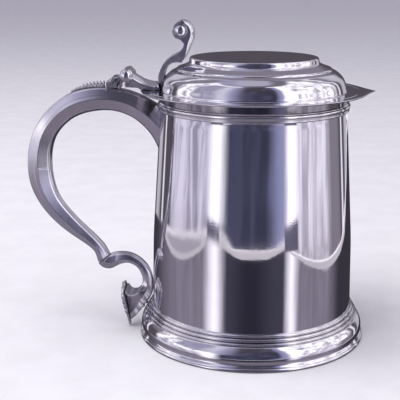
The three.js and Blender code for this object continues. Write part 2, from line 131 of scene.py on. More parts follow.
def both_sides(corners, middle=()):
    """Corners of one side, then any in the middle, then the same corners back on the other side."""
    return [*corners, *middle, *((a, -b, reach) for a, b, reach in reversed(corners))]


def reed(radius, low, high, swell, steps=8):
    """The corners of a half-round reed that stands out from a radius, from its low edge up."""
    corners = []
    for k in range(steps + 1):
        turn = math.pi * k / steps
        up = (low + high) / 2 - (high - low) / 2 * math.cos(turn)
        corners.append((radius + swell * math.sin(turn), up, 0))
    return corners


def spline(points, steps):
    """Points along a centripetal Catmull-Rom curve through some points, the same number for each span."""
    ends = [points[0] * 2 - points[1], *points, points[-1] * 2 - points[-2]]
    spans = len(points) - 1
    line = []
    for k in range(steps + 1):
        place = min(spans * k / steps, spans - 1e-9)
        i = int(place)
        a, b, c, d = ends[i : i + 4]
        x0, x1, x2 = (max((q - p).length ** 0.5, 1e-6) for p, q in ((a, b), (b, c), (c, d)))
        start = ((b - a) / x0 - (c - a) / (x0 + x1) + (c - b) / x1) * x1
        stop = ((c - b) / x1 - (d - b) / (x1 + x2) + (d - c) / x2) * x1
        t = place - i
        bend, twist = (c - b) * 3 - start * 2 - stop, (b - c) * 2 + start + stop
        line.append(b + start * t + bend * t**2 + twist * t**3)
    return line


def evened(points, rounds):
    """A line of points with its small wobbles taken out and its ends kept."""
    for _ in range(rounds):
        middle = [(a + b * 2 + c) / 4 for a, b, c in zip(points, points[1:], points[2:])]
        points = [points[0], *middle, points[-1]]
    return points


def smooth(t):
    t = min(1.0, max(0.0, t))
    return t * t * (3 - 2 * t)


# -------- meshes


class Form:
    """Points and faces gathered for one piece."""

    def __init__(self):
        self.points = []
        self.faces = []

    def skin(self, rings, ring_closed=True, loop=False, caps=False):
        """Joins equal rings of points. loop joins the last to the first, and caps closes both ends."""
        base = len(self.points)
        count = len(rings[0])
        for ring in rings:
            self.points.extend(ring)
        last = len(rings) if loop else len(rings) - 1
        across = count if ring_closed else count - 1
        for s in range(last):
            a = base + s * count
            b = base + ((s + 1) % len(rings)) * count
            for i in range(across):
                j = (i + 1) % count
                self.faces.append((a + i, a + j, b + j, b + i))
        if caps:
            self.faces.append(tuple(base + i for i in range(count)))
            end = base + (len(rings) - 1) * count
            self.faces.append(tuple(end + i for i in reversed(range(count))))

    def turned(self, profile, steps, closed=True, place=None, stretch=None):
        """Turns a profile of (radius, height) about an axis.

        place makes a point from (side, front, height), and is the drum's axis if it isn't given.
        stretch(radius, height, angle) may change the radius at an angle.
        """
        place = place or (lambda side, front, up: spot(-side, up, front))
        rings = []
        for s in range(steps):
            angle = 2 * math.pi * s / steps
            ring = []
            for radius, height in profile:
                r = stretch(radius, height, angle) if stretch else radius
                ring.append(place(r * math.cos(angle), r * math.sin(angle), height))
            rings.append(ring)
        self.skin(rings, ring_closed=closed, loop=True)

    def ball(self, centre, radii, steps=20, rows=12):
        """An ellipsoid with its poles up and down."""
        rings = []
        for k in range(rows + 1):
            lift = math.pi * k / rows
            ring = []
            for s in range(steps):
                angle = 2 * math.pi * s / steps
                x = radii[0] * math.sin(lift) * math.cos(angle)
                y = radii[1] * math.sin(lift) * math.sin(angle)
                ring.append(centre + Vector((x, y, radii[2] * math.cos(lift))) * MM)
            rings.append(ring)
        self.skin(rings)

    def plate(self, outline, half, edge=0.35, pull=None, slices=10, middle=0.0):
        """A plate across the handle's plane from a closed outline of (out, up) points.

        Its long edges are rounded by edge. pull(i) draws point i in towards the two faces, which leaves
        a crown.
        """
        points = [Vector(p) for p in outline]
        after = points[1:] + points[:1]
        side = 1 if sum(p.x * q.y - q.x * p.y for p, q in zip(points, after)) > 0 else -1
        outward = []
        for i, following in enumerate(after):
            along = (following - points[i - 1]).normalized()
            outward.append(Vector((along.y, -along.x)) * side)
        rows = [(-half, edge + GUARD)]
        for k in range(5):
            turned = math.pi / 2 * k / 4
            rows.append((-half + edge * (1 - math.cos(turned)), edge * (1 - math.sin(turned))))
        inner = half - edge
        rows += [(inner * (2 * k / slices - 1), 0.0) for k in range(1, slices)]
        rows += [(-across, inset) for across, inset in reversed(rows[:6])]
        rings = []
        for across, inset in rows:
            ring = []
            for i, p in enumerate(points):
                drawn = pull(i) * (across / half) ** 2 if pull else 0.0
                q = p - outward[i] * (inset + drawn)
                ring.append(spot(*q, middle + across))
            rings.append(ring)
        self.skin(rings, caps=True)

    def piece(self, name, body, slot, replaces):
        """Makes the object, lets it ride on its body and gives it its slot's material."""
        mesh = bpy.data.meshes.new(name)
        mesh.from_pydata([tuple(p) for p in self.points], [], self.faces)
        made = bmesh.new()
        made.from_mesh(mesh)
        bmesh.ops.remove_doubles(made, verts=made.verts, dist=1e-7)
        bmesh.ops.dissolve_degenerate(made, edges=made.edges, dist=1e-8)
        bmesh.ops.recalc_face_normals(made, faces=made.faces)
        made.to_mesh(mesh)
        made.free()
        mesh.shade_smooth()
        thing = placed(name, mesh)
        mesh.materials.append(SILVERS[slot])
        if replaces:
            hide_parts(*replaces)
            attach(thing, body)
        return thing


def carved(thing, room):
    """Cuts the space of another object out of a piece, for good."""
    cut = thing.modifiers.new("cut", "BOOLEAN")
    cut.operation = "DIFFERENCE"
    cut.solver = "EXACT"
    cut.object = room
    graph = bpy.context.evaluated_depsgraph_get()
    mesh = bpy.data.meshes.new_from_object(thing.evaluated_get(graph))
    thing.modifiers.clear()
    thing.data = mesh
    mesh.set_sharp_from_angle(angle=math.radians(40))


# -------- materials


class Nodes:
    """A short way to write the node graph of a material or a world."""

    def __init__(self, owner):
        owner.use_nodes = True
        self.tree = owner.node_tree
        self.tree.nodes.clear()

    def add(self, kind, values=None, **settings):
        node = self.tree.nodes.new(kind)
        for key, value in settings.items():
            setattr(node, key, value)
        for key, value in (values or {}).items():
            if isinstance(value, bpy.types.NodeSocket):
                self.tree.links.new(value, node.inputs[key])
            else:
                node.inputs[key].default_value = value
        return node

    def math(self, operation, a, b=0.0, clamp=False):
        node = self.add("ShaderNodeMath", {0: a, 1: b}, operation=operation)
        node.use_clamp = clamp
        return node.outputs[0]

    def plus(self, a, b, clamp=False):
        return self.math("ADD", a, b, clamp)

    def minus(self, a, b):
        return self.math("SUBTRACT", a, b)

    def times(self, a, b):
        return self.math("MULTIPLY", a, b)

    def step(self, value, low, high, to_low=0.0, to_high=1.0):
        """Eases from one value to another as value goes from low to high."""
        values = {0: value, 1: low, 2: high, 3: to_low, 4: to_high}
        return self.add("ShaderNodeMapRange", values, interpolation_type="SMOOTHSTEP").outputs[0]

    def fall(self, value, low, high):
        return self.step(value, low, high, 1.0, 0.0)

    def window(self, value, low, high, soft):
        """One between low and high and zero outside, with soft edges."""
        rise = self.step(value, low - soft, low + soft)
        return self.times(rise, self.fall(value, high - soft, high + soft))

    def mix(self, share, a, b):
        a, b = (c if isinstance(c, bpy.types.NodeSocket) else (*c, 1.0) for c in (a, b))
        return self.add("ShaderNodeMix", {"Factor": share, 6: a, 7: b}, data_type="RGBA").outputs[2]

    def combine(self, x, y, z):
        return self.add("ShaderNodeCombineXYZ", {0: x, 1: y, 2: z}).outputs[0]

    def noise(self, vector, scale, detail, roughness):
        values = {"Vector": vector, "Scale": scale, "Detail": detail, "Roughness": roughness}
        return self.add("ShaderNodeTexNoise", values).outputs["Fac"]

    def bump(self, height, depth, strength, under=None):
        """A normal with small heights added, over another normal if it is given."""
        values = {"Strength": strength, "Distance": depth, "Height": height}
        if under is not None:
            values["Normal"] = under
        return self.add("ShaderNodeBump", values).outputs[0]

    def finish(self, shader, kind):
        self.add(kind, {0: shader.outputs[0]})


# A finish: its colour, its roughness from and to, how much its hollows darken with tarnish and painted shade
# and how open a place is where that darkening ends, how strong its slow waves and its hairlines are, and
# whether its polishing marks run round the drum's axis.
Finish = namedtuple("Finish", "tint rough tarnish tarnish_end waves hairs round_axis")
POLISHED = (0.93, 0.915, 0.94)
FINISHES = {
    "drum_silver": Finish(POLISHED, (0.02, 0.055), 0.0, 0.7, 0.9, 0.5, True),
    "lid_silver": Finish(POLISHED, (0.025, 0.07), 0.25, 0.7, 0.5, 0.6, True),
    "foot_silver": Finish(POLISHED, (0.025, 0.07), 0.3, 0.7, 0.8, 0.6, True),
    "handle_silver": Finish((0.91, 0.895, 0.93), (0.15, 0.24), 0.3, 0.7, 0.5, 0.8, False),
    "wire_silver": Finish((0.94, 0.925, 0.945), (0.03, 0.08), 0.7, 0.7, 0.3, 0.5, True),
    "cast_silver": Finish((0.94, 0.92, 0.945), (0.15, 0.27), 0.9, 0.95, 1.8, 0.9, False),
}
# Hollows and the shade under the lid's flange darken towards this colour: tarnish and painted shade.
TARNISH_AND_SHADE = (0.10, 0.08, 0.095)
CLOUDY_FILM = 0.10

# Scales of the marks, which are about how many there are to the metre.
CLOUD_SCALE = 28.0
WIPE_SCALE = 90.0
WAVE_SCALE = 150.0
PIT_SCALE = 900.0
HAIRLINE_SCALE = 5200.0
# Depths of the marks, in metres, and how far a hollow is felt.
WAVE_DEPTH = 0.00006
PIT_DEPTH = 0.000004
HAIRLINE_DEPTH = 0.0000012
HOLLOW_REACH = 0.0022

# The drum's inside is rougher, and the hollow under the lid's flange has painted shade, a darker band in its
# colour.
SCOURED = 0.36
FLOOR_BELOW = 0.03
FLANGE_SHADE_LOW, FLANGE_SHADE_HIGH = 0.1322, 0.14
FLANGE_SHADE_SHARE = 0.7


def silver(name):
    """Polished silver with wiping marks, hairlines, slight waves and hollows darkened by tarnish and painted
    shade, at real scale.
    """
    finish = FINISHES[name]
    material = bpy.data.materials.new(name)
    n = Nodes(material)
    coordinates = n.add("ShaderNodeTexCoord").outputs
    place = coordinates["Object"]
    x, y, z = n.add("ShaderNodeSeparateXYZ", {0: place}).outputs
    side = n.minus(x, AXIS_X)
    radius = n.math("SQRT", n.plus(n.times(side, side), n.times(y, y)))
    if finish.round_axis:
        # Fine marks run round the piece, and the slow waves of the metal run up it.
        angle = n.math("ARCTAN2", y, side)
        marks = n.combine(n.times(angle, 0.004), radius, z)
        swells = n.combine(n.times(angle, 0.055), n.times(radius, 0.3), n.times(z, 0.12))
    else:
        marks = n.combine(x, n.times(y, 0.15), z)
        swells = place
    hairline = n.noise(marks, HAIRLINE_SCALE, 2.0, 0.6)
    wiped = n.noise(n.combine(side, y, n.times(z, 0.35)), WIPE_SCALE, 4.0, 0.55)
    cloud = n.noise(place, CLOUD_SCALE, 4.0, 0.5)

    dull = n.plus(n.times(wiped, 0.6), n.times(hairline, 0.4))
    rough = n.step(dull, 0.3, 0.7, *finish.rough)
    # Hollows darken by how enclosed they are, with tarnish and painted shade.
    hollow = n.add("ShaderNodeAmbientOcclusion", {"Distance": HOLLOW_REACH}, samples=6).outputs["AO"]
    dark = n.step(hollow, 0.05, finish.tarnish_end, finish.tarnish, 0.0)
    if name == "drum_silver":
        # The inside is scoured and never polished: its wall faces the axis and its floor faces up.
        facing = n.add("ShaderNodeSeparateXYZ", {0: coordinates["Normal"]}).outputs
        outward = n.plus(n.times(facing[0], side), n.times(facing[1], y))
        wall = n.fall(n.math("DIVIDE", outward, radius), -0.6, -0.2)
        below = n.fall(z, FLOOR_BELOW, FLOOR_BELOW + 0.01)
        inside = n.plus(wall, n.times(n.step(facing[2], 0.8, 0.9), below), True)
        rough = n.plus(rough, n.times(inside, SCOURED))
        # Painted shade on the outer wall under the lid's flange, where the flange hides the light.
        neck = n.window(z, FLANGE_SHADE_LOW, FLANGE_SHADE_HIGH, 0.0003)
        outside = n.step(radius, (NECK_R - 0.5) * MM, (NECK_R - 0.3) * MM)
        dark = n.plus(dark, n.times(n.times(neck, outside), FLANGE_SHADE_SHARE), True)
    film = n.step(cloud, 0.45, 0.75, 0.0, CLOUDY_FILM)
    colour = n.mix(n.plus(dark, film, True), finish.tint, TARNISH_AND_SHADE)

    wave = n.noise(swells, WAVE_SCALE, 2.0, 0.4)
    pits = n.noise(place, PIT_SCALE, 2.0, 0.5)
    normal = n.bump(wave, WAVE_DEPTH * finish.waves, 1.0)
    normal = n.bump(hairline, HAIRLINE_DEPTH, finish.hairs, normal)
    normal = n.bump(pits, PIT_DEPTH, finish.hairs, normal)
    values = {"Base Color": colour, "Metallic": 1.0, "Roughness": rough, "Normal": normal}
    n.finish(n.add("ShaderNodeBsdfPrincipled", values), "ShaderNodeOutputMaterial")
    return material


SILVERS = {name: silver(name) for name in FINISHES}

# -------- drum and foot

DRUM_WALL = 1.6
TAPER_UP = 19.0
BEND_UP = 57.0
BEND_R = 55.3
BEND_REACH = 7.0
NECK_UP = 125.0
TURN_STEPS = 240


def lathe(
    name, body, slot, node, corners, closed=True, steps=TURN_STEPS, place=None, stretch=None, **rounding
):
    """A turned piece that stands for one node. An open profile starts and ends on the axis."""
    form = Form()
    form.turned(rounded(corners, closed, **rounding), steps, closed, place, stretch)
    form.piece(name, body, slot, [node])


inner_drum_r = DRUM_R - DRUM_WALL
lathe("drum_wall", "vessel", "drum_silver", "drum", [
    (inner_drum_r, DRUM_LOW, 0.2), (DRUM_R, DRUM_LOW, 0.2), (DRUM_R, TAPER_UP, 1.0),
    (BEND_R, BEND_UP, BEND_REACH), (NECK_R, NECK_UP, 2.0), (NECK_R, DRUM_TOP, 0.5),
    (NECK_R - DRUM_WALL, DRUM_TOP, 0.5), (NECK_R - DRUM_WALL, NECK_UP, 2.0),
    (BEND_R - DRUM_WALL, BEND_UP, BEND_REACH), (inner_drum_r, TAPER_UP, 1.0),
], turns=10)

# The bottom is let up a little in the middle.
floor_low, floor_high = heights("base_disc")
lathe("drum_floor", "vessel", "drum_silver", "base_disc", [
    (0.0, floor_low + 0.5, 0), (20.0, floor_low + 0.4, 5.0), (46.0, floor_low, 4.0),
    (inner_drum_r + 0.2, floor_low, 0.3), (inner_drum_r + 0.2, floor_high, 0.3), (0.0, floor_high, 0),
], closed=False)

lathe("rim_reeding", "vessel", "wire_silver", "rim_moulding", [
    (NECK_R - 0.4, 127.6, 0), (NECK_R + 0.35, 127.6, 0.1), *reed(NECK_R + 0.45, 127.75, 128.65, 0.42),
    (NECK_R + 0.55, 129.0, 0.1), *reed(NECK_R + 0.55, 129.3, 131.6, 0.78), (NECK_R + 0.5, 131.8, 0.1),
    (NECK_R + 0.1, 132.5, 0.2), (NECK_R - 0.4, 132.5, 0),
])

lathe("base_reeding", "vessel", "wire_silver", "base_moulding", [
    (DRUM_R - 0.4, DRUM_LOW - 0.2, 0), (59.0, DRUM_LOW - 0.2, 0.1), *reed(59.0, 12.9, 14.2, 0.65),
    (58.0, 14.3, 0.1), *reed(57.5, 14.4, 16.2, 0.75), (56.8, 16.3, 0.1), *reed(56.5, 16.5, 18.2, 0.85),
    (DRUM_R - 0.4, 18.3, 0),
])

lathe("foot_shell", "vessel", "foot_silver", "foot_skirt", [
    (60.0, 1.9, 0), (62.7, 1.9, 0.15), (62.5, 2.4, 0.3), (61.7, 3.4, 0.6), (61.75, 4.3, 0.3),
    (62.45, 4.6, 0.15), (62.55, 5.2, 0.3), (62.62, 6.8, 1.0), (62.15, 8.9, 1.2), (61.2, 10.8, 1.2),
    (59.6, 12.7, 0.6), (56.4, 12.9, 0), (56.4, 11.4, 0), (58.9, 11.0, 0.8), (60.4, 9.0, 0.8),
    (61.0, 6.8, 0.8), (60.2, 4.6, 0.8),
])

lathe("foot_bead", "vessel", "wire_silver", "foot_wire", [
    (60.2, 0.0, 0.3), (FOOT_R - 0.45, 0.0, 0.3), (FOOT_R, 0.5, 0.3), (FOOT_R, 1.3, 0.35),
    (FOOT_R - 0.6, 2.0, 0.3), (60.2, 2.0, 0.2),
])

# -------- handle

# Each row is a section of the hollow handle: its flat back (out, up), then its round front (out, up).
HANDLE_SECTIONS = (
    (46.0, 125.5, 51.5, 102.5), (56.8, 132.3, 56.4, 112.8), (67.8, 137.0, 66.0, 122.0),
    (79.9, 138.9, 77.5, 125.9), (92.0, 138.2, 88.5, 125.2), (103.1, 134.3, 97.5, 122.4),
    (112.6, 127.2, 103.9, 117.8), (120.2, 117.2, 108.9, 111.5), (124.4, 105.5, 111.4, 103.5),
    (125.6, 93.5, 111.8, 94.0), (123.9, 82.3, 110.4, 84.0), (119.2, 72.6, 107.4, 76.0),
    (112.3, 63.9, 101.5, 68.2), (104.0, 56.7, 94.5, 60.6), (95.0, 50.6, 87.9, 54.0),
    (89.2, 45.8, 83.2, 48.4), (87.3, 39.4, 80.6, 43.8),
)
# The tail curls from the elbow to the drum and back out to the end plate.
TAIL_SECTIONS = (
    (87.2, 38.3, 80.4, 43.4), (84.9, 35.9, 79.9, 44.0), (80.3, 35.1, 78.2, 44.7),
    (75.8, 37.4, 74.6, 45.2), (70.5, 38.9, 68.5, 44.4), (66.0, 37.1, 61.8, 40.4),
    (63.0, 32.8, 57.3, 34.2), (62.0, 28.0, 55.7, 26.5), (63.2, 23.9, 57.0, 18.8),
    (66.3, 21.3, 61.3, 12.8), (69.5, 21.2, 65.2, 7.4), (71.6, 23.6, 69.0, 3.9),
)
SEAM_SHARE = 0.55
SEAM_GAP = 0.06
SEAM_LEDGE = 0.12


def stations(sections, steps):
    """Places along a run of sections: share of the way, back point and front point."""
    backs = spline([Vector((s[0], s[1])) for s in sections], steps)
    fronts = spline([Vector((s[2], s[3])) for s in sections], steps)
    rounds = steps // 12
    pairs = zip(evened(backs, rounds), evened(fronts, rounds))
    return [(k / steps, back, front) for k, (back, front) in enumerate(pairs)]


SIDE_SLANT = 0.40
BOW_SLANT = 0.46
KNEE_SHARE = 0.82
FLARE_FROM = 0.6
FLARE_HALF = 5.2


def main_shape(t, thick):
    """Share of the depth in front of the seam, half widths of the back and of the seam, and the flare."""
    seam_half = 7.4 - 2.6 * smooth(t)
    return SEAM_SHARE, seam_half - SIDE_SLANT * thick * (1 - SEAM_SHARE), seam_half, 0.0


def tail_shape(t, thick):
    """The same for the tail, whose back flares out to the end plate."""
    flare = smooth((t - FLARE_FROM) / (1 - FLARE_FROM))
    tube = 5.2 - 0.8 * t
    share = min(SEAM_SHARE, tube / thick)
    seam_half = 4.8 - 1.8 * t
    slant = SIDE_SLANT * min(thick * (1 - share), 4.0) * (1 - flare)
    return share, seam_half - slant + FLARE_HALF * flare, seam_half, flare


def laid(outline, station, share):
    """Lays an outline of (depth, across) in the plane of a station, with its origin on the seam."""
    _, back, front = station
    outward = (back - front).normalized()
    seam = front.lerp(back, share)
    return [spot(*(seam + outward * depth), across) for depth, across in outline]


LEAF = 1.1


def strap(form, run, shape_at, edge):
    """The flat back of the handle with its two sides. Where it flares, the back overhangs the sides."""
    rings = []
    for station in run:
        t, back, front = station
        thick = (back - front).length
        share, back_half, seam_half, flare = shape_at(t, thick)
        depth = thick * (1 - share)
        wide = seam_half + SEAM_LEDGE
        flat = min(1.0, 6 * flare)
        under = (depth - LEAF) * flat + 0.35 * depth * (1 - flat)
        reach = edge * (1 - flat) + 0.4 * flat
        neck = (wide + (back_half - wide) * under / depth) * (1 - flare) + (seam_half + 0.2) * flare
        rim = neck * (1 - flare) + (back_half - 0.1) * flare
        side = [(SEAM_GAP, -wide, 0.2), (under - 0.1, -neck, 0.15), (under, -rim - 0.01, 0.15)]
        outline = rounded(both_sides([*side, (depth, -back_half, reach)]))
        rings.append(laid(outline, station, share))
    form.skin(rings, caps=True)


def bow_outline(depth, half):
    """Half-hexagon front of the handle: two slanting sides that turn over to a gently bowed face."""
    knee = KNEE_SHARE * depth
    side = [(-SEAM_GAP, half, 0.15), (-SEAM_GAP - knee, half - BOW_SLANT * knee, 1.3)]
    return rounded(both_sides(side, [(-SEAM_GAP - depth, 0.0, 2.4)]), turns=7)


def bow_ring(station, shape_at, deeper, wider):
    """The front's outline at a station, made deeper and wider by two lengths."""
    t, back, front = station
    thick = (back - front).length
    share, _, seam_half, _ = shape_at(t, thick)
    return laid(bow_outline(thick * share + deeper, seam_half + wider), station, share)


def bow(form, run, shape_at):
    """The front half of the handle."""
    form.skin([bow_ring(station, shape_at, -SEAM_GAP, 0.0) for station in run], caps=True)


FINE_STEPS = 1200


def band(form, shape_at, sections, middle, half_length, height, sunk=0.1):
    """A raised ring over the front, round in section."""
    fine = stations(sections, FINE_STEPS)
    rings = []
    for k in range(9):
        across = 2 * k / 8 - 1
        station = fine[round((middle + half_length * across) * FINE_STEPS)]
        rise = height * math.sqrt(max(0.0, 1 - across**2)) - sunk
        rings.append(bow_ring(station, shape_at, rise, rise))
    form.skin(rings, caps=True)


# The room that the drum and its foot take, with a bed that lets the handle touch them.
BED = 0.15
BELOW_ALL, ABOVE_ALL = -5.0, 180.0
room_form = Form()
room_line = [
    (FOOT_R, BELOW_ALL), (FOOT_R, 2.0), (62.5, 5.0), (62.0, 9.0), (59.6, 12.6), (59.4, 14.3), (57.9, 16.4),
    (57.2, 18.2), (DRUM_R, 18.4), (BEND_R, BEND_UP), (NECK_R, NECK_UP), (NECK_R, ABOVE_ALL),
]
room_line = [(0.0, BELOW_ALL), *((r - BED, up) for r, up in room_line), (0.0, ABOVE_ALL)]
room_form.turned(room_line, 128, closed=False)
drum_room = room_form.piece("drum_room", "vessel", "drum_silver", [])

MAIN_STEPS = 160
TAIL_STEPS = 120
CROSS_SEAM = 0.5625
main_run = stations(HANDLE_SECTIONS, MAIN_STEPS)
tail_run = stations(TAIL_SECTIONS, TAIL_STEPS)


def soldered(name, node, slot, maker, *settings):
    """A piece of the handle, made by one of the makers above and fitted against the drum."""
    form = Form()
    maker(form, *settings)
    carved(form.piece(name, "vessel", slot, [node]), drum_room)


upper_run = [station for station in main_run if station[0] <= CROSS_SEAM]
lower_run = [station for station in main_run if station[0] >= CROSS_SEAM]
soldered("handle_strap", "handle_back", "handle_silver", strap, main_run, main_shape, 0.95)
soldered("handle_bow_upper", "handle_front_upper", "handle_silver", bow, upper_run, main_shape)

# The lower front carries the solder line across the front, and stands clear of the drum.
lower_form = Form()
bow(lower_form, lower_run, main_shape)
band(lower_form, main_shape, HANDLE_SECTIONS, CROSS_SEAM, 0.0022, 0.22, 0.05)
lower_form.piece("handle_bow_lower", "vessel", "handle_silver", ["handle_front_lower"])

soldered("tail_strap", "tail_back", "handle_silver", strap, tail_run, tail_shape, 1.9)
soldered("tail_bow", "tail_front", "handle_silver", bow, tail_run, tail_shape)

# Two raised rings round the tail's tube.
for where, middle in (("upper", 0.79), ("lower", 0.825)):
    names = (f"tail_ring_{where}", f"tail_collar_{where}", "wire_silver")
    soldered(*names, band, tail_shape, TAIL_SECTIONS, middle, 0.012, 0.85)

# -------- end plate

PLATE_FOOT = heights("end_plate")[0]
PLATE_HALF = 9.6
PLATE_SHOULDER = 19.6
PLATE_RISE = 6.6
PLATE_THICK = 1.7
LOBES = 5
FLANK_STEPS = 48
FLANK_PLAIN = 0.46
FLANK_LOBES = 3
FLANK_BULGE = 0.95
TOP_STEPS = 10
TOP_SWELL = 2.6


def flank(way):
    """One side of the shield from its foot to its shoulder, with small lobes below the shoulder."""
    shoulder = (way * PLATE_HALF, PLATE_SHOULDER)
    line = []
    for k, p in enumerate(quadratic((0, PLATE_FOOT), (way * 4.4, 9.5), shoulder, FLANK_STEPS)):
        place = (k / FLANK_STEPS - FLANK_PLAIN) / (1 - FLANK_PLAIN)
        lobe = place * FLANK_LOBES % 1 if place > 0 else None
        bulge = FLANK_BULGE * math.sin(math.pi * lobe) ** 0.7 if lobe else 0.0
        line.append((p + Vector((way * bulge, -0.3 * bulge)), lobe))
    return line


def plate_top(t):
    """A point of the half oval over the shoulders."""
    angle = math.pi * t
    return Vector((-PLATE_HALF * math.cos(angle), PLATE_SHOULDER + PLATE_RISE * math.sin(angle)))


def plate_outline():
    """The shield with its lobed top, as (across, up) and how far along its lobe or None."""
    line = flank(-1)
    for i in range(LOBES):
        middle = plate_top((i + 0.5) / LOBES)
        swell = (middle - Vector((0, PLATE_SHOULDER))).normalized() * TOP_SWELL
        lobe = quadratic(plate_top(i / LOBES), middle + swell, plate_top((i + 1) / LOBES), TOP_STEPS)
        line += [(p, k / TOP_STEPS) for k, p in enumerate(lobe)]
    line += [(Vector((PLATE_HALF, PLATE_SHOULDER)), None)]
    line += flank(1)[:0:-1]
    return line


last_back_out, last_back_up, last_front_out, last_front_up = TAIL_SECTIONS[-1]
PLATE_LEAN = math.atan2(last_back_out - last_front_out, last_back_up - last_front_up)
PLATE_OUT = last_front_out - (last_front_up - PLATE_FOOT) * math.tan(PLATE_LEAN) + 0.5


def on_plate(across, up, thick):
    """A point of the leaning end plate, thick mm out from its inner face."""
    along = up - PLATE_FOOT
    return spot(
        PLATE_OUT + along * math.sin(PLATE_LEAN) + thick * math.cos(PLATE_LEAN),
        PLATE_FOOT + along * math.cos(PLATE_LEAN) - thick * math.sin(PLATE_LEAN),
        across,
    )


PLATE_HEART = Vector((0.0, 16.0))


def plate_relief(share, lobe):
    """Thickness of the plate between its heart and its edge: fluted under the lobes, with a rounded edge."""
    border = smooth((share - 0.80) / 0.08) * (1 - smooth((share - 0.93) / 0.07))
    thick = 1.15 + 0.35 * border
    if lobe is not None:
        flute = math.sin(math.pi * lobe)
        thick += 0.55 * flute * smooth((share - 0.35) / 0.3) * (1 - smooth((share - 0.92) / 0.08))
    heart = 0.75 * (1 - smooth(share / 0.3))
    return min(PLATE_THICK, thick + heart)


plate_form = Form()
outline = plate_outline()
rings = []
for share in (
    1e-4, 0.08, 0.16, 0.24, 0.3, 0.36, 0.45, 0.55, 0.65, 0.74, 0.8, 0.84, 0.88, 0.92, 0.95, 0.975, 0.99, 1.0,
):
    ring = []
    for point, lobe in outline:
        p = PLATE_HEART.lerp(point, share)
        drop = 0.45 * smooth((share - 0.95) / 0.05) ** 2
        ring.append(on_plate(p.x, p.y, plate_relief(share, lobe) - drop))
    rings.append(ring)
for share in (1.0, 0.975, 0.9, 0.5, 1e-4):
    lift = 0.35 * smooth((share - 0.9) / 0.1)
    rings.append([on_plate(*PLATE_HEART.lerp(point, share), lift) for point, _ in outline])
plate_form.skin(rings)
# A small ball finishes the plate's point.
plate_form.ball(on_plate(0.0, PLATE_FOOT + 1.1, 0.8), (0.95, 1.0, 0.95), 16, 10)
plate_form.piece("scalloped_plate", "vessel", "cast_silver", ["end_plate"])

# -------- hinge and beads

pin_low, pin_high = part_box("hinge_pin")
HINGE_OUT = (AXIS_X - (pin_low.x + pin_high.x) / 2) / MM
HINGE_UP = (pin_low.z + pin_high.z) / 2 / MM
KNUCKLE_R = 3.4
PIN_R = 1.15
KNUCKLE_EDGES = (-7.6, -4.6, -1.6, 1.6, 4.6, 7.6)
HINGE_HALF = KNUCKLE_EDGES[-1]
CLEAR = 0.1


def about_pin(out=HINGE_OUT, up=HINGE_UP):
    """A place function for turning about the pin, or another axis across the handle's plane."""
    return lambda side, front, across: spot(out + side, up + front, across)


def knuckle_ends(index):
    """Where a knuckle starts and stops across the handle's plane."""
    return KNUCKLE_EDGES[index] + CLEAR, KNUCKLE_EDGES[index + 1] - CLEAR


def barrel(form, index):
    """One knuckle of the hinge, with softened rims."""
    low, high = knuckle_ends(index)
    corners = [(PIN_R, low, 0), (KNUCKLE_R, low, 0.3), (KNUCKLE_R, high, 0.3), (PIN_R, high, 0)]
    form.turned(rounded(corners), 48, place=about_pin())


WEB_CORNERS = (
    (74.0, 139.4, 0.2), (74.0, 145.0, 0.3), (71.6, 146.6, 1.2), (69.2, 149.2, 0.3), (69.2, 143.2, 0.3),
)


def web(form, index):
    """The arm from the block to one knuckle."""
    low, high = knuckle_ends(index)
    form.plate(rounded(WEB_CORNERS), (high - low) / 2, 0.25, middle=(low + high) / 2, slices=4)


BLOCK_CORNERS = (
    (72.6, 138.4, 0.3), (79.9, 138.6, 0.3), (80.7, 141.2, 1.0), (79.6, 142.9, 0.7), (78.0, 143.1, 0.5),
    (77.0, 144.9, 0.6), (72.7, 145.2, 0.5),
)
block_form = Form()
block_form.plate(rounded(BLOCK_CORNERS), HINGE_HALF - CLEAR, 0.8)
for index in (0, 2, 4):
    barrel(block_form, index)
    web(block_form, index)
block_form.piece("hinge_knuckles", "vessel", "cast_silver", ["hinge_block"])

ROD_R = 1.05
rod_ends = (pin_low.y / MM, pin_high.y / MM)
rod_line = [(0.0, rod_ends[0], 0), *((ROD_R, end, 0.2) for end in rod_ends), (0.0, rod_ends[1], 0)]
lathe(
    "hinge_rod", "vessel", "cast_silver", "hinge_pin", rod_line, closed=False, steps=32, place=about_pin()
)


def button(name, body, node, way, line, radius, foot, rise, first, place):
    """A turned button that faces across: its rim's corners, then a dome that rises over its foot."""
    dome = [math.pi / 2 * k / 12 for k in range(first, 13)]
    line = line + [(radius * math.cos(lift), foot + rise * math.sin(lift), 0) for lift in dome]
    form = Form()
    turned_line = [(r, way * across) for r, across in rounded(line, closed=False)]
    form.turned(turned_line, 48, closed=False, place=place)
    form.piece(name, body, "wire_silver", [node])


cap_rim = [(0.0, 7.7, 0), (3.35, 7.7, 0.1), *reed(3.3, 7.75, 8.35, 0.3, 6), (3.2, 8.45, 0.1)]
for end, way in (("near", -1), ("far", 1)):
    button(f"hinge_ball_{end}", "vessel", f"hinge_cap_{end}", way, cap_rim, 3.25, 8.5, 2.6, 1, about_pin())

BEAD_START = 81.0
BEAD_END = 99.8
BEAD_COUNT = 10
BEAD_HALF_LENGTH = 0.80
BED_HIGH = 0.75
BED_LOW = -0.3

back_line = [station[1] for station in main_run if station[1].y > HINGE_UP - 25]


def on_back(out, rise, across=0.0):
    """A point over the handle's upper back."""
    nearest = min(back_line, key=lambda p: abs(p.x - out))
    return spot(out, nearest.y + rise, across)


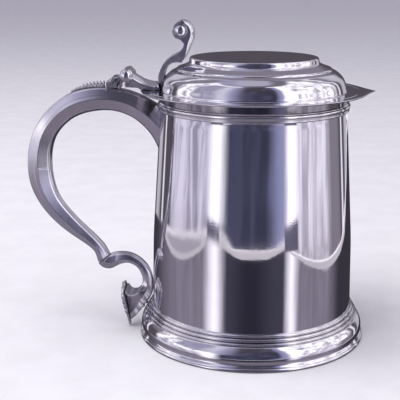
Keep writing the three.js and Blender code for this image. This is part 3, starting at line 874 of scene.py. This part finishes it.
# The beads stand on a tapering strip, get smaller down the handle, and have a grain at both sides.
beads_form = Form()
spine = [p for p in back_line if BEAD_START - 1.0 <= p.x <= BEAD_END + 0.6]
rings = []
for i, p in enumerate(spine):
    half = 3.0 - 2.3 * i / (len(spine) - 1)
    outline = rounded(both_sides([(BED_LOW, -half, 0), (BED_HIGH, -half, 0.25)]))
    rings.append([spot(p.x, p.y + up, across) for up, across in outline])
beads_form.skin(rings, caps=True)
for i in range(BEAD_COUNT):
    share = (i + 0.5) / BEAD_COUNT
    out = BEAD_START + (BEAD_END - BEAD_START) * share
    size = 0.55 + 1.5 * (1 - share**2.2)
    wide, high = size * 1.15 * dice.uniform(0.94, 1.05), size * dice.uniform(0.93, 1.05)
    beads_form.ball(on_back(out, 0.3 + 0.55 * size), (BEAD_HALF_LENGTH, wide, high))
    grain = 0.35 + size * 0.22
    for way in (-1, 1):
        centre = on_back(out + 0.85, 0.6 + 0.35 * grain, way * size * dice.uniform(0.95, 1.1))
        beads_form.ball(centre, (grain, grain, grain * 1.15), 12, 8)
beads_form.piece("beaded_spine", "vessel", "cast_silver", ["beaded_drop"])

# -------- lid

CAP_FOOT_R = 50.4
LID_TOP_R = 34.7

CAP_OUTSIDE = [
    (0.0, LID_TOP, 0), (LID_TOP_R - 0.35, LID_TOP, 0.35), (LID_TOP_R + 0.1, LID_TOP - 0.6, 0.35),
    (LID_TOP_R + 0.3, 154.4, 0.5), (LID_TOP_R + 0.45, 153.3, 0.5), (35.8, 152.55, 0.3), (36.15, 152.45, 0.1),
    (38.6, 151.35, 1.0), (40.9, 150.55, 0.5), (41.5, 150.4, 0.25), (42.15, 149.75, 0.3), (42.35, 149.3, 0.15),
    (44.5, 148.5, 0.4), (46.0, 147.3, 0.8), (47.7, 145.7, 1.0), (48.75, 144.0, 1.0), (49.5, 142.0, 1.0),
    (50.0, 140.0, 0.8), (50.2, 139.3, 0.3), (CAP_FOOT_R + 0.2, FLANGE_HIGH, 0),
]
CAP_INSIDE = [
    (49.1, FLANGE_HIGH, 0), (48.4, 141.6, 1.2), (47.3, 143.8, 1.0), (45.9, 145.6, 1.0), (43.9, 147.0, 1.0),
    (39.2, 149.3, 1.2), (35.2, 150.9, 0.8), (34.0, 152.4, 0.6), (33.5, LID_TOP - 1.3, 0.4),
    (0.0, LID_TOP - 1.3, 0),
]
lathe("lid_dome", "lid", "lid_silver", "lid_cap", CAP_OUTSIDE + CAP_INSIDE, closed=False)

# The lip is the small point opposite the handle. It spreads this far round, and is drawn from this border.
LIP_SPREAD = 0.34
LIP_BORDER = 2.5


def lip(radius, height, angle):
    """Draws the flange's rim out into the lip."""
    turn = abs((angle + math.pi) % (2 * math.pi) - math.pi)
    if radius < FLANGE_R - LIP_BORDER or turn > LIP_SPREAD:
        return radius
    near = 1 - turn / LIP_SPREAD
    pull = (radius - (FLANGE_R - LIP_BORDER)) / LIP_BORDER
    return radius + (LIP_REACH - FLANGE_R) * near**2.2 * pull


lathe("lid_flange_ring", "lid", "lid_silver", "lid_flange", [
    (CAP_FOOT_R - 1.0, FLANGE_LOW, 0), (FLANGE_R - 2.6, FLANGE_LOW, 0),
    (FLANGE_R - 0.5, FLANGE_LOW, 0.25), (FLANGE_R, FLANGE_LOW + 0.45, 0.2),
    (FLANGE_R, FLANGE_HIGH - 0.25, 0.2), (FLANGE_R - 0.6, FLANGE_HIGH, 0.2),
    (FLANGE_R - 2.6, FLANGE_HIGH, 0), (57.5, FLANGE_HIGH, 0.1), (57.15, FLANGE_HIGH - 0.28, 0.1),
    (56.8, FLANGE_HIGH, 0.1), (CAP_FOOT_R + 0.9, FLANGE_HIGH, 0.3),
    (CAP_FOOT_R - 0.4, FLANGE_HIGH + 0.5, 0),
], steps=TURN_STEPS * 2, stretch=lip, guard=0.06)

bezel_low, bezel_high = heights("lid_bezel")
lathe("lid_inner_ring", "lid", "lid_silver", "lid_bezel", [
    (48.1, bezel_low, 0.15), (48.9, bezel_low, 0.25), (48.9, 136.7, 0.3), (50.0, FLANGE_LOW, 0.3),
    (50.0, bezel_high, 0), (48.1, bezel_high, 0),
])

LEAF_HALF = 7.4
LEAF_CROWN = 2.3
leaf_corners = rounded([
    (50.5, 138.35, 0), (61.2, 138.35, 0.3), (62.4, 139.4, 0.5), (69.4, 139.7, 0.4), (69.9, 141.4, 0.4),
    (68.6, 146.2, 0.4), (66.2, 147.6, 0.7), (63.6, 146.2, 2.0), (59.5, 143.7, 2.0), (55.6, 142.5, 2.0),
    (50.5, 142.2, 0),
])


def leaf_pull(i):
    """The leaf's top is crowned, and its ends are straight across."""
    out, up = leaf_corners[i]
    if up < 141.0:
        return 0.0
    return LEAF_CROWN * smooth((67.4 - out) / 3.0) * smooth((out - 48.0) / 3.0)


leaf_form = Form()
leaf_form.plate(leaf_corners, LEAF_HALF, 0.55, pull=leaf_pull, slices=16)
for index in (1, 3):
    barrel(leaf_form, index)
leaf_form.piece("lid_leaf", "lid", "cast_silver", ["lid_hinge_plate"])

# -------- thumbpiece

THUMB_HALF = half_width("thumbpiece")
BOSS_OUT = 39.6
BOSS_UP = 169.9
STEM_FRONT = (
    (51.9, 141.8), (51.9, 145.6), (50.8, 149.2), (48.6, 152.9), (45.2, 155.9), (40.6, 158.5), (38.7, 160.8),
    (38.3, 163.2), (39.6, 164.8),
)
HEAD = (
    (39.6, 164.8), (42.6, 166.2), (44.2, 169.6), (43.0, 173.0), (40.0, 175.0), (36.6, 175.3), (33.6, 173.4),
    (32.0, 170.0), (32.0, 166.6), (33.4, 162.6), (35.8, 157.2), (39.0, 152.7),
)
STEM_BACK = (
    (39.0, 152.7), (41.8, 152.8), (44.4, 152.3), (46.6, 150.4), (47.9, 147.6), (48.4, 144.6), (48.5, 141.8),
)
THUMB_CROWN = 1.9
THUMB_CROWN_OUT, THUMB_CROWN_UP = 38.5, 153.5

thumb_outline = []
for part in (STEM_FRONT, HEAD, STEM_BACK):
    run = spline([Vector(p) for p in part], 8 * (len(part) - 1))
    thumb_outline += [tuple(p) for p in run[:-1]]
thumb_outline.append(STEM_BACK[-1])


def thumb_pull(i):
    """How far the lid-facing side of the scroll is crowned: most at the head, none at the cusp."""
    out, up = thumb_outline[i]
    if out > THUMB_CROWN_OUT or up < THUMB_CROWN_UP + 0.5:
        return 0.0
    return THUMB_CROWN * smooth((up - THUMB_CROWN_UP) / 10.0) * smooth((THUMB_CROWN_OUT - out) / 3.0)


thumb_form = Form()
thumb_form.plate(thumb_outline, THUMB_HALF, 0.5, pull=thumb_pull, slices=16)
thumb_form.piece("thumb_scroll", "lid", "cast_silver", ["thumbpiece"])

boss_rim = [
    (0.0, THUMB_HALF - 0.3, 0), (3.9, THUMB_HALF - 0.3, 0), (3.85, THUMB_HALF, 0),
    (3.75, THUMB_HALF + 0.28, 0.1), (3.35, THUMB_HALF + 0.3, 0.1), (3.05, THUMB_HALF + 0.05, 0.1),
]
about_boss = about_pin(BOSS_OUT, BOSS_UP)
for end, way in (("near", -1), ("far", 1)):
    names = (f"thumb_ball_{end}", "lid", f"thumb_boss_{end}")
    button(*names, way, boss_rim, 2.95, THUMB_HALF + 0.05, 1.75, 0, about_boss)

bpy.data.objects.remove(drum_room)

# -------- studio

FLOOR_REACH = 9.0
FLOOR_PAINT = ((0.78, 0.77, 0.79), (0.82, 0.81, 0.83))
floor_mesh = bpy.data.meshes.new("studio_floor")
corners = [(-1, -1), (1, -1), (1, 1), (-1, 1)]
floor_mesh.from_pydata([(x * FLOOR_REACH, y * FLOOR_REACH, 0.0) for x, y in corners], [], [(0, 1, 2, 3)])
studio_floor = placed("studio_floor", floor_mesh)
studio_floor.visible_glossy = False

paint = bpy.data.materials.new("pale_floor")
n = Nodes(paint)
speck = n.noise(n.add("ShaderNodeTexCoord").outputs["Object"], 35.0, 5.0, 0.6)
pale = n.mix(n.step(speck, 0.35, 0.65), *FLOOR_PAINT)
values = {"Base Color": pale, "Roughness": 0.85}
n.finish(n.add("ShaderNodeBsdfPrincipled", values), "ShaderNodeOutputMaterial")
floor_mesh.materials.append(paint)


# The tent's own colours, as light strengths. A pair of colours goes from shaded to lit, low to high, left
# to right or the middle to the sides.
DARK = ((0.042, 0.042, 0.075), (0.07, 0.062, 0.08))
DIM = ((0.36, 0.35, 0.52), (0.30, 0.30, 0.50))
SMEAR = (0.20, 0.21, 0.38)
LOW_GLOW = (0.24, 0.25, 0.46)
BACK = ((0.085, 0.075, 0.095), (0.23, 0.21, 0.27))
BACK_SEAM = (0.85, 0.83, 0.95)
BACK_PANEL = (0.9, 0.88, 1.0)
LEFT_CLOTH = ((0.33, 0.31, 0.41), (0.74, 0.70, 0.86))
RIGHT_CLOTH = ((0.42, 0.39, 0.49), (0.88, 0.84, 0.98))
LOW_CLOTH = ((0.30, 0.28, 0.36), (0.62, 0.58, 0.68))
HIGH_CLOTH = ((0.40, 0.38, 0.46), (1.35, 1.31, 1.42))
SHADED_CLOTH = (0.28, 0.27, 0.40)
FAR_CLOTH = (0.225, 0.20, 0.25)
STRIP_LIGHT = (1.5, 1.46, 1.6)
CEILING = ((0.33, 0.32, 0.46), (0.17, 0.16, 0.205))
CEILING_EDGE = (1.1, 1.08, 1.2)
OVERHEAD = (0.44, 0.42, 0.53)
AHEAD = ((0.026, 0.024, 0.040), (0.055, 0.052, 0.080))
UNDERFOOT = (0.20, 0.175, 0.225)
TABLE_CLOTH = ((0.195, 0.175, 0.235), (0.24, 0.22, 0.285))
TABLE_STRIP = (1.2, 1.15, 1.3)
TABLE_LEFT = (0.045, 0.040, 0.055)
TABLE_RIGHT = (0.040, 0.036, 0.050)
HEM = ((0.40, 0.37, 0.45), (0.62, 0.57, 0.63))
HEM_FOLD = (0.56, 0.53, 0.60)
HEM_EDGE = ((0.80, 0.76, 0.84), (1.1, 1.05, 1.15))
GAP_SHADE = (0.12, 0.11, 0.17)
BEHIND_OBJECT = (0.66, 0.65, 0.67)


class Tent:
    """The light round the tankard, as colours over two angles in degrees.

    turn goes round: nought is towards the camera and ninety is to its right. lift goes up from level.
    """

    def __init__(self, nodes):
        self.n = n = nodes
        way = n.add("ShaderNodeTexCoord").outputs["Generated"]
        parts = n.add("ShaderNodeSeparateXYZ", {0: way}).outputs
        degrees = 180 / math.pi
        self.lift = n.times(n.math("ARCSINE", parts[2]), degrees)
        self.turn = n.times(n.math("ARCTAN2", parts[0], n.times(parts[1], -1.0)), degrees)
        self.away = n.math("ABSOLUTE", self.turn)
        place = n.combine(n.times(self.turn, 0.03), n.times(self.lift, 0.03), 2.0)
        self.clouds = n.noise(place, 1.6, 3.0, 0.5)
        # The folds hang down, and bend a little.
        bent = n.plus(n.times(self.turn, 0.05), n.times(self.clouds, 1.6))
        folds = n.noise(n.combine(bent, n.times(self.lift, 0.022), 0.0), 3.0, 5.0, 0.62)
        self.cloth_light = n.step(folds, 0.36, 0.62)
        self.strips = self.make_strips()

    def folded(self, pair):
        """Cloth with its folds, from its shaded and its lit colour."""
        return self.n.mix(self.cloth_light, *pair)

    def make_strips(self):
        """The two upright strips of bright light, one on each side of the dark front."""
        n, turn = self.n, self.turn
        left = n.times(n.step(turn, -58.0, -41.0), n.fall(turn, -43.5, -26.5))
        left = n.times(left, n.step(self.lift, 8.0, 18.0, 1.0, 0.25))
        right = n.times(n.step(turn, 35.0, 48.0), n.fall(turn, 45.0, 57.0))
        return n.plus(left, right, True)

    def front(self):
        """A dark opening, narrower higher up, with dim lavender round it."""
        n, turn, lift = self.n, self.turn, self.lift
        dark = n.mix(n.step(lift, 15.0, 60.0), *DARK)
        dim = n.mix(n.step(turn, -12.0, 12.0), *DIM)
        left_from = n.step(lift, 0.0, 22.0, -44.0, -34.0)
        left_to = n.step(lift, 0.0, 22.0, -38.0, -8.0)
        right_from = n.step(lift, -3.4, 1.0, 14.0, 27.0)
        right_to = n.step(lift, -3.4, 1.0, 36.0, 35.0)
        sides = n.plus(n.fall(turn, left_from, left_to), n.step(turn, right_from, right_to), True)
        colour = n.mix(sides, dark, dim)
        colour = n.mix(n.times(n.step(self.clouds, 0.45, 0.62), 0.16), colour, SMEAR)
        glow = n.times(n.window(turn, 18.0, 40.0, 9.0), n.window(lift, -7.6, -5.0, 1.2))
        return n.mix(n.times(glow, n.step(self.clouds, 0.42, 0.58, 0.15, 0.6)), colour, LOW_GLOW)

    def back(self):
        """The dim far side, with a bright seam and a paler panel on each side of it."""
        n = self.n
        colour = n.mix(n.step(self.lift, 8.0, 24.0), *BACK)
        colour = n.mix(n.window(self.away, 128.0, 132.0, 1.2), colour, BACK_SEAM)
        return n.mix(n.times(n.window(self.away, 140.0, 156.0, 4.0), 0.5), colour, BACK_PANEL)

    def cloth(self):
        """The two side cloths: dimmer low down, brighter high up, and shaded high on the left."""
        n, turn, lift = self.n, self.turn, self.lift
        colour = n.mix(n.step(turn, -10.0, 10.0), self.folded(LEFT_CLOTH), self.folded(RIGHT_CLOTH))
        colour = n.mix(n.step(lift, -13.0, -8.5, 0.75, 0.0), colour, self.folded(LOW_CLOTH))
        colour = n.mix(n.step(lift, -4.0, 6.0), colour, self.folded(HIGH_CLOTH))
        shaded = n.times(n.window(turn, -84.0, -36.0, 5.0), n.step(lift, 8.0, 18.0))
        return n.mix(n.times(shaded, 0.9), colour, SHADED_CLOTH)

    def above_hem(self):
        """Everything over the hem, up to the ceiling."""
        n, turn, lift, away = self.n, self.turn, self.lift, self.away
        back = self.back()
        colour = n.mix(n.step(away, 37.0, 42.0), self.front(), self.cloth())
        colour = n.mix(n.fall(turn, -113.0, -105.0), colour, back)
        far_cloth = n.times(n.step(turn, 96.0, 105.0), n.fall(lift, -1.0, 5.0))
        colour = n.mix(far_cloth, colour, FAR_CLOTH)
        colour = n.mix(n.step(turn, 118.0, 127.0), colour, back)
        strip = n.times(self.strips, n.step(lift, -9.1, -8.5))
        colour = n.mix(n.times(strip, n.fall(lift, 55.0, 66.0)), colour, STRIP_LIGHT)
        ceiling = n.mix(n.step(turn, -40.0, 0.0), *CEILING)
        colour = n.mix(n.step(lift, 63.0, 70.0), colour, ceiling)
        edge = n.times(n.window(lift, 62.0, 66.0, 1.0), n.step(away, 20.0, 30.0))
        colour = n.mix(n.times(edge, n.fall(away, 99.0, 107.0)), colour, CEILING_EDGE)
        return n.mix(n.step(lift, 74.0, 82.0), colour, OVERHEAD)

    def below_hem(self):
        """The table's light, seen only in the lowest reflections."""
        n, turn, lift, away = self.n, self.turn, self.lift, self.away
        ahead = n.mix(n.step(away, 3.0, 30.0), *AHEAD)
        ahead = n.mix(n.fall(lift, -34.0, -24.0), ahead, UNDERFOOT)
        colour = n.mix(n.step(away, 36.0, 44.0), ahead, self.folded(TABLE_CLOTH))
        colour = n.mix(n.times(self.strips, n.step(lift, -30.0, -20.0)), colour, TABLE_STRIP)
        colour = n.mix(n.fall(turn, -150.0, -90.0), colour, TABLE_LEFT)
        return n.mix(n.step(turn, 92.0, 122.0), colour, TABLE_RIGHT)

    def sag(self, middle, half, top, depth):
        """How high an edge hangs that droops by depth between two places, half away from the middle."""
        n = self.n
        reach = n.math("DIVIDE", n.minus(self.turn, middle), half)
        share = n.math("MAXIMUM", n.minus(1.0, n.times(reach, reach)), 0.0)
        return n.minus(top, n.times(share, depth))

    def hem(self):
        """The hem's top and bottom: a narrow band straight ahead, and a deep swag at each side."""
        n, turn = self.n, self.turn
        ahead_top = n.plus(n.fall(turn, -38.0, -16.0), n.step(turn, 22.0, 40.0, -10.0, -9.6))
        ahead_bottom = n.plus(n.step(turn, -38.0, -10.0, 2.6, 0.0), n.step(turn, 14.0, 41.0, -12.5, -10.5))
        left_top = n.plus(n.times(turn, 0.0405), -7.34)
        top = n.step(turn, 38.0, 42.0, ahead_top, self.sag(94.0, 60.0, -8.4, 6.6))
        top = n.step(turn, -41.0, -37.0, left_top, top)
        bottom = n.step(turn, 38.0, 42.0, ahead_bottom, self.sag(94.0, 60.0, -8.9, 8.0))
        bottom = n.step(turn, -41.0, -37.0, self.sag(-92.0, 52.0, -6.6, 8.9), bottom)
        return top, n.math("MINIMUM", bottom, top)

    def whole(self):
        """The colour all round."""
        n, turn, lift = self.n, self.turn, self.lift
        top, bottom = self.hem()
        over_top, over_bottom = n.minus(lift, top), n.minus(lift, bottom)
        hem = n.mix(n.step(turn, -44.0, -38.0), *HEM)
        hem = n.mix(n.window(over_bottom, 0.2, 1.4, 0.3), hem, HEM_FOLD)
        hem_edge = n.mix(n.step(turn, 30.0, 50.0), *HEM_EDGE)
        hem = n.mix(n.window(over_top, -0.4, 0.1, 0.12), hem, hem_edge)
        colour = n.mix(n.step(over_bottom, -0.12, 0.12), self.below_hem(), hem)
        colour = n.mix(n.step(over_top, -0.08, 0.08), colour, self.above_hem())
        # A shaded gap under each strip, down to where the hem would be.
        gap_foot = n.step(turn, -20.0, 20.0, -9.9, -11.0)
        gaps = n.plus(n.window(turn, -51.5, -36.5, 0.8), n.window(turn, 37.5, 53.0, 0.8), True)
        gap = n.times(n.fall(lift, -9.1, -8.6), n.step(n.minus(lift, gap_foot), -0.15, 0.15))
        return n.mix(n.times(gap, gaps), colour, GAP_SHADE)


world = bpy.data.worlds.new("light_tent")
scene.world = world
n = Nodes(world)
seen = n.add("ShaderNodeLightPath").outputs["Is Camera Ray"]
sky = n.mix(seen, Tent(n).whole(), BEHIND_OBJECT)
n.finish(n.add("ShaderNodeBackground", {"Color": sky, "Strength": 1.0}), "ShaderNodeOutputWorld")

# One large lamp for the floor. The silver's own reflections come from the tent.
LAMP_PLACE = Vector((-0.5, -0.3, 1.6))
LAMP_SIDE = 1.4
LAMP_WATTS = 26.0
lamp_data = bpy.data.lights.new("top_light", "AREA")
lamp_data.shape = "RECTANGLE"
lamp_data.size = lamp_data.size_y = LAMP_SIDE
lamp_data.energy = LAMP_WATTS
lamp = placed("top_light", lamp_data)
lamp.location = LAMP_PLACE
lamp.rotation_euler = (-LAMP_PLACE).to_track_quat("-Z", "Y").to_euler()
lamp.visible_glossy = False
lamp.visible_camera = False

# The camera stands in front of the drum's axis, above the lid, and looks down a little to the handle's side.
CAMERA_BACK = 0.5187
CAMERA_UP = 0.2062
TILT = math.radians(90 - 14.09)
TURN = math.radians(3.227)
camera_data = bpy.data.cameras.new("camera")
camera_data.sensor_width = 36.0
camera_data.lens = 85.92
camera_data.clip_start = 0.01
camera = placed("camera", camera_data)
camera.location = (AXIS_X, -CAMERA_BACK, CAMERA_UP)
camera.rotation_euler = (TILT, 0.0, TURN)
scene.camera = camera
scene.view_settings.view_transform = "Standard"
